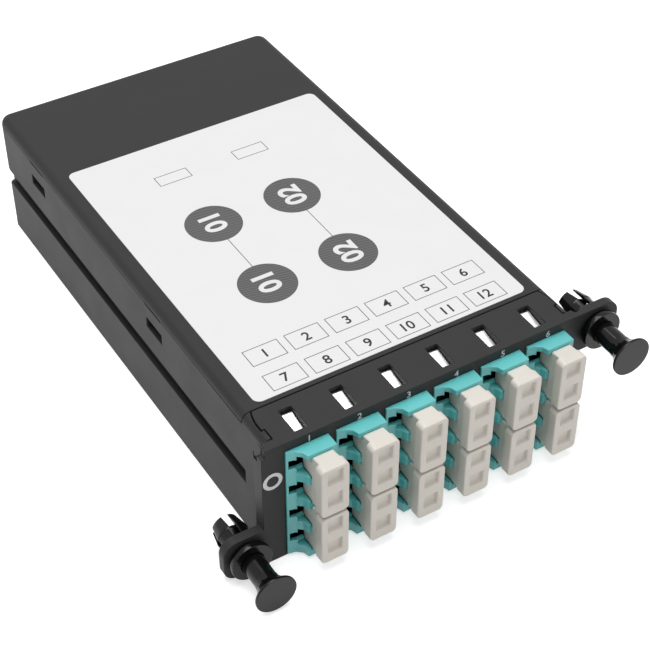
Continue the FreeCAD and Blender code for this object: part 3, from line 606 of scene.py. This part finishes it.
@dataclass(frozen=True)
class AdapterMoulding(Moulding):
    """An adapter whose latch slots sit a little high in their ports, as a plug's latch does.

    Attributes:
        slot_end: from the adapter's left side to the slots' right ends.
        slot_room: how far off a slot's edge a corner may be and still belong to it.
        lifts: from a port's middle to a slot's edge, and how far that edge is lifted.
    """

    slot_end: float = 3.5
    slot_room: float = 0.02
    lifts: tuple[tuple[float, float], ...] = ((1.75, 0.8), (0.9, 0.7), (-0.9, 0.45), (-1.75, 0.2))

    def shape(self, piece: bpy.types.Object) -> None:
        """Lifts the slots' upper and lower walls, one level at a time.

        Args:
            piece: the merged copy of the adapter.
        """
        low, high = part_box(self.node)
        reach = low.x + (self.slot_end + self.slot_room) * MM
        for level, lift in self.lifts:
            heights = [port + level * MM for port in port_heights(low, high)]
            Bench.select(piece, Part.EDGE, lambda a, b: self.at_slots(a, reach, heights)
                         and self.at_slots(b, reach, heights))
            bpy.ops.transform.translate(value=(0, 0, lift * MM))
            Bench.leave()

    def at_slots(self, point: Vector, reach: float, heights: Sequence[float]) -> bool:
        """Whether a point is left of the slots' right ends, at one of some heights."""
        return point.x < reach and any(abs(point.z - height) < self.slot_room * MM
                                       for height in heights)


@dataclass
class LatchCatches:
    """The four ledges in an adapter's latch slots that a plug's latch hooks behind.

    All sizes are in millimetres.
    """

    left: float = 0.35
    right: float = 3.45
    depth: float = 2.5
    thickness: float = 1.4
    foot: float = -2.0
    head: float = -0.6
    round_over: float = 0.6
    round_steps: int = 3
    edge: float = 0.05
    edge_steps: int = 1

    def build(self) -> None:
        """Models one adapter's ledges and copies them to all six."""
        low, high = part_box("adapter_1")
        front = low.y + self.depth * MM
        ledges = []
        for z in port_heights(low, high):
            ledge = Bench.block("catch", (low.x + self.left * MM, front, z + self.foot * MM),
                                (low.x + self.right * MM, front + self.thickness * MM,
                                 z + self.head * MM))
            Bench.select(ledge, Part.EDGE, lambda a, b: abs(a.x - b.x) > MM
                         and a.y < front + CLOSE)
            bpy.ops.mesh.bevel(offset=self.round_over * MM, segments=self.round_steps)
            Bench.leave()
            ledges.append(ledge)
        pattern = Bench.join(ledges, "catch_pattern")
        Bench.soften(pattern, self.edge * MM, self.edge_steps)
        for index in range(1, ADAPTERS + 1):
            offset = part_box(f"adapter_{index}")[0] - low
            catches = Bench.copy(pattern, f"latch_catches_{index}", offset)
            mount(catches, ROOT, AQUA)
        bpy.data.objects.remove(pattern)


# ------------------------------------------------------------------ the adapters' clips
@dataclass(frozen=True)
class Window:
    """A window in a clip's leg, in metres.

    Attributes:
        middle: its centre line in X.
        half: half its width.
        start: its front edge in Y.
        end: its back edge in Y.
    """

    middle: float
    half: float
    start: float
    end: float

    def spans(self, point: Vector) -> bool:
        """Whether a point lies between the window's sides."""
        return abs(point.x - self.middle) < self.half


@dataclass
class SpringClip:
    """A sprung steel clip: a strap, two legs with a window each, and a tab sprung out of each.

    All sizes are in millimetres.
    """

    sheet: float = 0.22
    tab_width: float = 2.3
    tab_start: float = 0.2
    tab_end: float = 5.4
    step: float = 0.4
    step_length: float = 0.4
    rise: float = 0.75
    rise_share: float = 0.9
    lower_share: float = 0.4
    halfway: float = 13.0
    edge_share: float = 6.0
    edge_steps: int = 1

    def build(self) -> None:
        """Models one clip and copies it to all six adapters."""
        low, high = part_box("spring_clip_1")
        sheet = self.sheet * MM
        strap = Bench.block("clip_pattern", (high.x - sheet, low.y, low.z), high)
        Bench.slice(strap, 2, (low.z + sheet, high.z - sheet))
        Bench.select(strap, Part.FACE, lambda c, n: n.x < -FACING and (
            c.z < low.z + sheet or c.z > high.z - sheet))
        Bench.push((low.x - high.x + sheet, 0, 0))
        Bench.leave()
        adapter_low, adapter_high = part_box("adapter_1")
        window = Window((adapter_low.x + adapter_high.x) / 2, self.tab_width / 2 * MM,
                        low.y + self.tab_start * MM, low.y + self.tab_end * MM)
        Bench.slice(strap, 0, (window.middle - window.half, window.middle + window.half))
        Bench.slice(strap, 1, (window.start, window.end))
        for up in (-1, 1):
            self.tab(strap, window, up)
        Bench.soften(strap, self.sheet / self.edge_share * MM, self.edge_steps)
        for index in range(1, ADAPTERS + 1):
            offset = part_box(f"spring_clip_{index}")[0] - low
            clip = Bench.copy(strap, f"clip_{index}", offset)
            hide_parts(f"spring_clip_{index}")
            mount(clip, ROOT, STEEL)
        bpy.data.objects.remove(strap)

    def tab(self, strap: bpy.types.Object, window: Window, up: int) -> None:
        """Opens a leg's window and draws the tab out of its front edge.

        Args:
            strap: the clip so far.
            window: the window's place.
            up: 1 for the upper leg and -1 for the lower one, whose tab stays above the floor.
        """
        lean = up * MM if up > 0 else up * self.lower_share * MM
        Bench.select(strap, Part.FACE, lambda c, n: (
            abs(n.z) > FACING and self.on_leg(c, up) and window.spans(c)
            and window.start < c.y < window.end))
        bpy.ops.mesh.bridge_edge_loops()
        Bench.leave()
        Bench.select(strap, Part.FACE, lambda c, n: (
            n.y > FACING and self.on_leg(c, up) and window.spans(c)
            and abs(c.y - window.start) < self.sheet * MM))
        Bench.push((0, self.step_length * MM, lean * self.step))
        run = window.end - window.start - 2 * self.step_length * MM
        Bench.push((0, run * self.rise_share, lean * self.rise))
        Bench.push((0, run * (1 - self.rise_share), 0))
        Bench.leave()

    def on_leg(self, point: Vector, up: int) -> bool:
        """Whether a point is on the upper leg, or for an up of -1 on the lower one."""
        return point.z * up > self.halfway * MM * up


# ------------------------------------------------------------------ dust caps
@dataclass
class DustCap:
    """A duplex dust cap: a finger block with two dished pockets, a neck and two plugs.

    All sizes are in millimetres.
    """

    thickness: float = 2.3
    front_out: float = 0.4
    neck_length: float = 1.9
    neck_width: float = 4.1
    corner: float = 1.0
    corner_steps: int = 6
    plug_nose: float = 1.5
    nose_scale: float = 0.7
    pocket_width: float = 3.1
    pocket_height: float = 3.2
    pocket_pitch: float = 5.5
    pocket_rise: float = 0.95
    pocket_depth: float = 0.9
    pocket_taper: float = 0.84
    pocket_lift: float = 0.1
    edge: float = 0.25
    edge_steps: int = 3
    top_stretch: float = 0.55
    foot_lift: float = 0.2
    block_shift: float = 0.18
    lower_lift: float = 0.3

    def __post_init__(self) -> None:
        """Finds the first cap's place."""
        self.low, self.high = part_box("dust_cap_1_lower")
        self.middle = (self.low + self.high) / 2
        self.low.y -= self.front_out * MM
        self.low.z += self.foot_lift * MM
        self.high.z += self.top_stretch * MM

    def build(self) -> None:
        """Models one cap and copies it to all twelve places."""
        pattern = self.block()
        self.neck_and_plugs(pattern)
        for side in (-1, 1):
            height = side * self.pocket_pitch / 2 + self.pocket_rise
            self.pocket(pattern, self.middle.z + height * MM)
        self.set_over(pattern)
        Bench.everything(pattern)
        bpy.ops.mesh.dissolve_limited(angle_limit=FLAT_ANGLE)
        Bench.leave()
        Bench.soften(pattern, self.edge * MM, self.edge_steps)
        for index in range(1, ADAPTERS + 1):
            for place in ("lower", "upper"):
                node = f"dust_cap_{index}_{place}"
                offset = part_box(node)[0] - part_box("dust_cap_1_lower")[0]
                if place == "lower":
                    offset.z += self.lower_lift * MM
                cap = Bench.copy(pattern, f"cap_{index}_{place}", offset)
                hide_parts(node)
                mount(cap, f"{node}_body", CAP)
        bpy.data.objects.remove(pattern)

    def block(self) -> bpy.types.Object:
        """The finger block, with its four long corners rounded and the grid for what follows.

        Returns:
            The block, cut at the edges of the neck, the plugs and the pockets.
        """
        back = (self.high.x, self.low.y + self.thickness * MM, self.high.z)
        block = Bench.block("cap_pattern", self.low, back)
        Bench.select(block, Part.EDGE, lambda a, b: abs(a.y - b.y) > MM)
        bpy.ops.mesh.bevel(offset=self.corner * MM, segments=self.corner_steps)
        Bench.leave()
        neck, pocket = self.neck_width / 2 * MM, self.pocket_width / 2 * MM
        x = self.middle.x
        Bench.slice(block, 0, (x - neck, x - pocket, x + pocket, x + neck))
        heights = []
        for pitch, half, rise in ((self.pocket_pitch, self.pocket_height / 2, self.pocket_rise),
                                  (PORT_PITCH, self.neck_width / 2, 0.0)):
            for side in (-1, 1):
                heights += [self.middle.z + (rise + side * pitch / 2 + end * half) * MM
                            for end in (-1, 1)]
        Bench.slice(block, 2, sorted(heights))
        return block

    def neck_and_plugs(self, block: bpy.types.Object) -> None:
        """Draws the neck and then the two plugs out of the block's back.

        Args:
            block: the finger block.
        """
        x, half = self.middle.x, self.neck_width / 2 * MM
        back_y = self.low.y + self.thickness * MM
        Bench.select(block, Part.FACE, lambda c, n: n.y > FACING and abs(c.x - x) < half)
        Bench.push((0, self.neck_length * MM, 0))
        Bench.leave()
        seat_y = back_y + self.neck_length * MM
        shank = self.high.y - self.plug_nose * MM - seat_y
        for side in (-1, 1):
            z = self.middle.z + side * PORT_PITCH / 2 * MM
            Bench.select(block, Part.FACE, lambda c, n: (
                n.y > FACING and back_y + CLOSE < c.y < seat_y + CLOSE
                and abs(c.x - x) < half and abs(c.z - z) < half))
            Bench.push((0, shank, 0))
            Bench.push((0, self.plug_nose * MM, 0))
            bpy.ops.transform.resize(value=(self.nose_scale, 1, self.nose_scale),
                                     center_override=(x, self.high.y, z))
            Bench.leave()

    def pocket(self, block: bpy.types.Object, z: float) -> None:
        """Sinks one dished pocket into the block's face; its walls slope in, the lower one most.

        Args:
            block: the finger block.
            z: the height of the pocket's middle, in metres.
        """
        x, front = self.middle.x, self.low.y
        half_w, half_h = self.pocket_width / 2 * MM, self.pocket_height / 2 * MM
        Bench.select(block, Part.FACE, lambda c, n: (
            n.y < -FACING and abs(c.y - front) < NEAR
            and abs(c.x - x) < half_w and abs(c.z - z) < half_h))
        Bench.push((0, self.pocket_depth * MM, 0))
        bpy.ops.transform.resize(value=(self.pocket_taper, 1, self.pocket_taper),
                                 center_override=(x, front, z))
        bpy.ops.transform.translate(value=(0, 0, self.pocket_lift * MM))
        Bench.leave()

    def set_over(self, block: bpy.types.Object) -> None:
        """Sets the finger block over to the right of its neck, pockets and all.

        Args:
            block: the whole cap.
        """
        back = self.low.y + (self.thickness + HAIR) * MM
        Bench.select(block, Part.EDGE, lambda a, b: a.y < back and b.y < back
                     and not (abs(a.y - back) < NEAR and self.on_neck(a) and self.on_neck(b)))
        bpy.ops.transform.translate(value=(self.block_shift * MM, 0, 0))
        Bench.leave()

    def on_neck(self, point: Vector) -> bool:
        """Whether a point of the block's back is at the root of the neck."""
        return abs(point.x - self.middle.x) < (self.neck_width / 2 + HAIR) * MM


# ------------------------------------------------------------------ the printed label
@dataclass(frozen=True)
class Digits:
    """Plain numbers in the built-in face.

    Attributes:
        text: the digits.
        height: the digits' height in millimetres.
        weight: how much the strokes are thickened, in millimetres.
        share: how much of the text's size a digit's height is.
        curve_steps: how finely each curve is cut into straight lines.
    """

    text: str
    height: float
    weight: float
    share: float = 0.7
    curve_steps: int = 4

    def flat(self, place: Vector, turn: float, depth: float) -> bpy.types.Object:
        """Digits lying face up about a point.

        Args:
            place: the middle of the digits, on the surface.
            turn: the turn about +Z, in degrees.
            depth: how far they stand up, in millimetres.

        Returns:
            A mesh piece with its place in its mesh.
        """
        return self.shape(place, Matrix.Rotation(math.radians(turn), 4, "Z"), depth)

    def upright(self, place: Vector, depth: float) -> bpy.types.Object:
        """Digits on a face that looks along -Y."""
        return self.shape(place, Matrix.Rotation(QUARTER_TURN, 4, "X"), depth)

    def shape(self, place: Vector, turn: Matrix, depth: float) -> bpy.types.Object:
        """Makes the digits a mesh, centred on a place and turned.

        Args:
            place: the middle of the digits, on the surface.
            turn: how the digits are turned from lying face up.
            depth: how far they stand out, in millimetres.

        Returns:
            A mesh piece with its place in its mesh.
        """
        Bench.clear()
        bpy.ops.object.text_add()
        words = bpy.context.object
        words.data.body = self.text
        words.data.size = self.height * MM / self.share
        words.data.align_x = "CENTER"
        words.data.align_y = "CENTER"
        words.data.offset = self.weight * MM
        words.data.extrude = depth * MM / 2
        words.data.resolution_u = self.curve_steps
        bpy.ops.object.convert(target="MESH")
        piece = bpy.context.object
        low = Vector([min(v.co[i] for v in piece.data.vertices) for i in range(3)])
        high = Vector([max(v.co[i] for v in piece.data.vertices) for i in range(3)])
        middle = Vector(((low.x + high.x) / 2, (low.y + high.y) / 2, low.z))
        piece.data.transform(Matrix.Translation(place) @ turn @ Matrix.Translation(-middle))
        return piece


@dataclass
class LabelPrint:
    """What is printed on the lid's label: outlines, linked discs and plain numbers.

    Places are in millimetres from the middle of the label's front edge.
    """

    thickness: float = 0.012
    line: float = 0.16
    disc_radius: float = 5.85
    disc_columns: tuple[float, float] = (-11.4, 6.7)
    disc_rows: tuple[float, float] = (27.35, 48.85)
    disc_digits: tuple[float, float] = (4.4, 0.2)
    disc_turn: float = 90.0
    box_size: tuple[float, float] = (7.3, 4.5)
    box_pitch: float = 8.75
    box_start: float = -21.6
    box_rows: tuple[float, float] = (10.6, 3.25)
    box_digits: tuple[float, float] = (2.2, 0.05)
    trunk_size: tuple[float, float] = (7.4, 3.3)
    trunk_shift: float = 0.3
    trunk_row: float = 66.9

    def __post_init__(self) -> None:
        """Finds the label's top face and front edge."""
        low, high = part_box("top_label")
        self.front = low.y
        self.centre = (low.x + high.x) / 2
        self.top = high.z

    def at(self, x: float, y: float) -> Vector:
        """A point on the label's face, from its place in millimetres."""
        return Vector((self.centre + x * MM, self.front + y * MM, self.top))

    def slab(self, name: str, x0: float, x1: float, y0: float, y1: float) -> bpy.types.Object:
        """A thin printed rectangle."""
        high = self.at(x1, y1) + Vector((0, 0, self.thickness * MM))
        return Bench.block(name, self.at(x0, y0), high)

    def outline(self, name: str, x: float, y: float, size: tuple[float, float]
                ) -> bpy.types.Object:
        """A thin printed frame about a centre, cut through with an inset and a bridge.

        Args:
            name: the piece's name.
            x: the centre's place across the label, in millimetres.
            y: the centre's place up the label, in millimetres.
            size: the frame's outer width and height, in millimetres.

        Returns:
            The frame.
        """
        half_x, half_y = size[0] / 2, size[1] / 2
        plate = self.slab(name, x - half_x, x + half_x, y - half_y, y + half_y)
        Bench.select(plate, Part.FACE, lambda c, n: abs(n.z) > FACING)
        bpy.ops.mesh.inset(thickness=self.line * MM, use_individual=True)
        bpy.ops.mesh.bridge_edge_loops()
        Bench.leave()
        return plate

    def disc(self, x: float, y: float) -> bpy.types.Object:
        """A printed disc."""
        middle = self.at(x, y) + Vector((0, 0, self.thickness * MM / 2))
        return Bench.drum("disc", middle, self.disc_radius * MM, self.thickness * MM)

    def build(self) -> None:
        """Prints the whole label."""
        lines: list[bpy.types.Object] = []
        numbers: list[bpy.types.Object] = []
        discs: list[bpy.types.Object] = []
        whites: list[bpy.types.Object] = []
        half = self.line / 2
        for column, x in enumerate(self.disc_columns):
            lines.append(self.outline("trunk_outline", x + self.trunk_shift, self.trunk_row,
                                      self.trunk_size))
            lines.append(self.slab("link", x - half, x + half,
                                   self.disc_rows[0] + self.disc_radius,
                                   self.disc_rows[1] - self.disc_radius))
            for y in self.disc_rows:
                discs.append(self.disc(x, y))
                number = Digits(f"0{column + 1}", *self.disc_digits)
                whites.append(number.flat(self.at(x, y), self.disc_turn, 2 * self.thickness))
        for row, y in enumerate(self.box_rows):
            for column in range(ADAPTERS):
                x = self.box_start + column * self.box_pitch
                lines.append(self.outline("port_box", x, y, self.box_size))
                number = Digits(str(row * ADAPTERS + column + 1), *self.box_digits)
                numbers.append(number.flat(self.at(x, y), 0.0, self.thickness))
        self.add(lines, "label_outlines", INK_LINE)
        self.add(numbers, "label_numbers", INK)
        self.add(discs, "label_discs", DISC)
        self.add(whites, "label_disc_numbers", INK_WHITE)

    @staticmethod
    def add(parts: Sequence[bpy.types.Object], name: str, finish: Finish) -> None:
        """Joins printed parts into one piece that rides on the housing."""
        mount(Bench.join(parts, name), ROOT, finish)


# ------------------------------------------------------------------ marks on the panel
@dataclass
class PanelMarks:
    """The numbers above the adapters and the ring at the panel's left, in millimetres."""

    digits: tuple[float, float] = (1.4, 0.02)
    digit_drop: float = 1.25
    digit_shift: float = 0.6
    ring_radius: float = 1.95
    ring_line: float = 0.75
    ring_x: float = -32.6
    ring_z: float = 20.9
    depth: float = 0.01

    def build(self) -> None:
        """Prints the panel's marks."""
        low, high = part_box("front_panel")
        numbers = []
        for index in range(1, ADAPTERS + 1):
            left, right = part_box(f"adapter_{index}")
            x = (left.x + right.x) / 2 + self.digit_shift * MM
            place = Vector((x, low.y, high.z - self.digit_drop * MM))
            numbers.append(Digits(str(index), *self.digits).upright(place, self.depth))
        marks = Bench.join(numbers, "panel_numbers")
        mount(marks, ROOT, INK_PALE)
        centre = Vector((self.ring_x * MM, low.y - self.depth * MM / 2, self.ring_z * MM))
        ring = Bench.drum("panel_ring", centre, self.ring_radius * MM, self.depth * MM,
                          Along.Y)
        Bench.select(ring, Part.FACE, lambda c, n: abs(n.y) > FACING)
        bpy.ops.mesh.inset(thickness=self.ring_line * MM, use_individual=True)
        bpy.ops.mesh.bridge_edge_loops()
        Bench.leave()
        mount(ring, ROOT, INK_WHITE)


# ------------------------------------------------------------------ studio
@dataclass(frozen=True)
class Lamp:
    """A square soft lamp that faces the object, in metres and watts."""

    name: str
    place: tuple[float, float, float]
    size: float
    power: float

    def build(self) -> None:
        """Adds the lamp."""
        data = bpy.data.lights.new(self.name, "AREA")
        data.size = self.size
        data.energy = self.power
        lamp = bpy.data.objects.new(self.name, data)
        lamp.location = self.place
        lamp.rotation_euler = (-Vector(self.place)).to_track_quat("-Z", "Y").to_euler()
        bpy.context.scene.collection.objects.link(lamp)


@dataclass
class Studio:
    """The floor, the lamps, the pale surroundings and the camera."""

    azimuth: float = -31.433
    elevation: float = 41.573
    distance: float = 0.340
    lens: float = 88.93
    sensor: float = 36.0
    nearest: float = 0.01
    aim: tuple[float, float, float] = (0.008593, -0.00913, 0.0003)
    floor_size: float = 6.0
    floor_colour: Colour = (0.82, 0.82, 0.82)
    floor_roughness: float = 0.9
    white: tuple[float, float, float, float] = (1.0, 1.0, 1.0, 1.0)
    ambient: float = 0.32
    floor_glow: float = 0.6
    lamps: tuple[Lamp, ...] = (
        Lamp("key", (-0.05, 0.05, 0.8), size=0.6, power=5.4),
        Lamp("front", (0.35, -0.75, 0.4), size=0.6, power=1.15),
    )

    def build(self) -> None:
        """Sets the whole scene round the object."""
        self.floor()
        self.world()
        for lamp in self.lamps:
            lamp.build()
        self.camera()
        bpy.context.scene.view_settings.view_transform = "Standard"

    @staticmethod
    def seen(tree: bpy.types.NodeTree) -> bpy.types.NodeSocket:
        """A mask that is 1 for what the camera, a gloss or a clear piece sees.

        Args:
            tree: the material's or world's own node tree.

        Returns:
            The mask's output socket.
        """
        path = tree.nodes.new("ShaderNodeLightPath")
        socket = path.outputs["Is Camera Ray"]
        for name in ("Is Glossy Ray", "Is Transmission Ray"):
            either = tree.nodes.new("ShaderNodeMath")
            either.operation = "MAXIMUM"
            tree.links.new(socket, either.inputs[0])
            tree.links.new(path.outputs[name], either.inputs[1])
            socket = either.outputs[0]
        return socket

    def floor(self) -> None:
        """A pale floor that keeps the object's shadow and looks white to the camera."""
        Bench.clear()
        bpy.ops.mesh.primitive_plane_add(size=self.floor_size, location=(0, 0, 0))
        floor = bpy.context.object
        floor.name = "floor"
        material = bpy.data.materials.new("floor_pale")
        material.use_nodes = True
        tree = material.node_tree
        shader = tree.nodes["Principled BSDF"]
        shader.inputs["Base Color"].default_value = (*self.floor_colour, 1.0)
        shader.inputs["Roughness"].default_value = self.floor_roughness
        shader.inputs["Specular IOR Level"].default_value = 0.0
        shader.inputs["Emission Color"].default_value = self.white
        strength = tree.nodes.new("ShaderNodeMath")
        strength.operation = "MULTIPLY"
        strength.inputs[1].default_value = self.floor_glow
        tree.links.new(self.seen(tree), strength.inputs[0])
        tree.links.new(strength.outputs[0], shader.inputs["Emission Strength"])
        floor.data.materials.append(material)

    def world(self) -> None:
        """Even soft surroundings, white to the camera and in reflections."""
        world = bpy.data.worlds.new("surroundings")
        bpy.context.scene.world = world
        world.use_nodes = True
        tree = world.node_tree
        back = tree.nodes["Background"]
        back.inputs["Color"].default_value = self.white
        strength = tree.nodes.new("ShaderNodeMapRange")
        strength.inputs["To Min"].default_value = self.ambient
        strength.inputs["To Max"].default_value = 1.0
        tree.links.new(self.seen(tree), strength.inputs["Value"])
        tree.links.new(strength.outputs["Result"], back.inputs["Strength"])

    def camera(self) -> None:
        """The camera, looking down on the front left corner."""
        turn, rise = math.radians(self.azimuth), math.radians(self.elevation)
        back = Vector((math.sin(turn) * math.cos(rise), -math.cos(turn) * math.cos(rise),
                       math.sin(rise)))
        data = bpy.data.cameras.new("view")
        data.lens = self.lens
        data.sensor_width = self.sensor
        data.clip_start = self.nearest
        camera = bpy.data.objects.new("view", data)
        camera.location = Vector(self.aim) + back * self.distance
        camera.rotation_euler = (-back).to_track_quat("-Z", "Y").to_euler()
        bpy.context.scene.collection.objects.link(camera)
        bpy.context.scene.camera = camera


MOULDINGS: tuple[Moulding, ...] = (
    *(Moulding(node, "housing_plastic", edge=0.15)
      for node in ("base_tray", "front_panel", "top_cover")),
    *(AdapterMoulding(f"adapter_{index}", "adapter_plastic", edge=0.09)
      for index in range(1, ADAPTERS + 1)),
    *(Moulding(f"{kind}_{side}", "fastener_plastic", edge=0.1)
      for kind in ("grommet", "plunger") for side in ("left", "right")),
    *(Moulding(f"trunk_adapter_{side}", "adapter_plastic") for side in ("left", "right")),
    *(Moulding(f"trunk_cap_{side}", "cap_plastic", edge=0.2, segments=3)
      for side in ("left", "right")),
)


def main() -> None:
    """Dresses the CAD pieces and builds the rest, in order."""
    logging.basicConfig(level=logging.INFO, format="%(name)s: %(message)s")
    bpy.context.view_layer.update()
    for name, node in frame["nodes"].items():
        dress(node, finish_of(name))
    LOG.info("dressed %d CAD pieces", len(frame["nodes"]))
    for moulding in MOULDINGS:
        moulding.build()
    LatchCatches().build()
    SpringClip().build()
    DustCap().build()
    LabelPrint().build()
    PanelMarks().build()
    Studio().build()


if __name__ == "__main__":
    main()
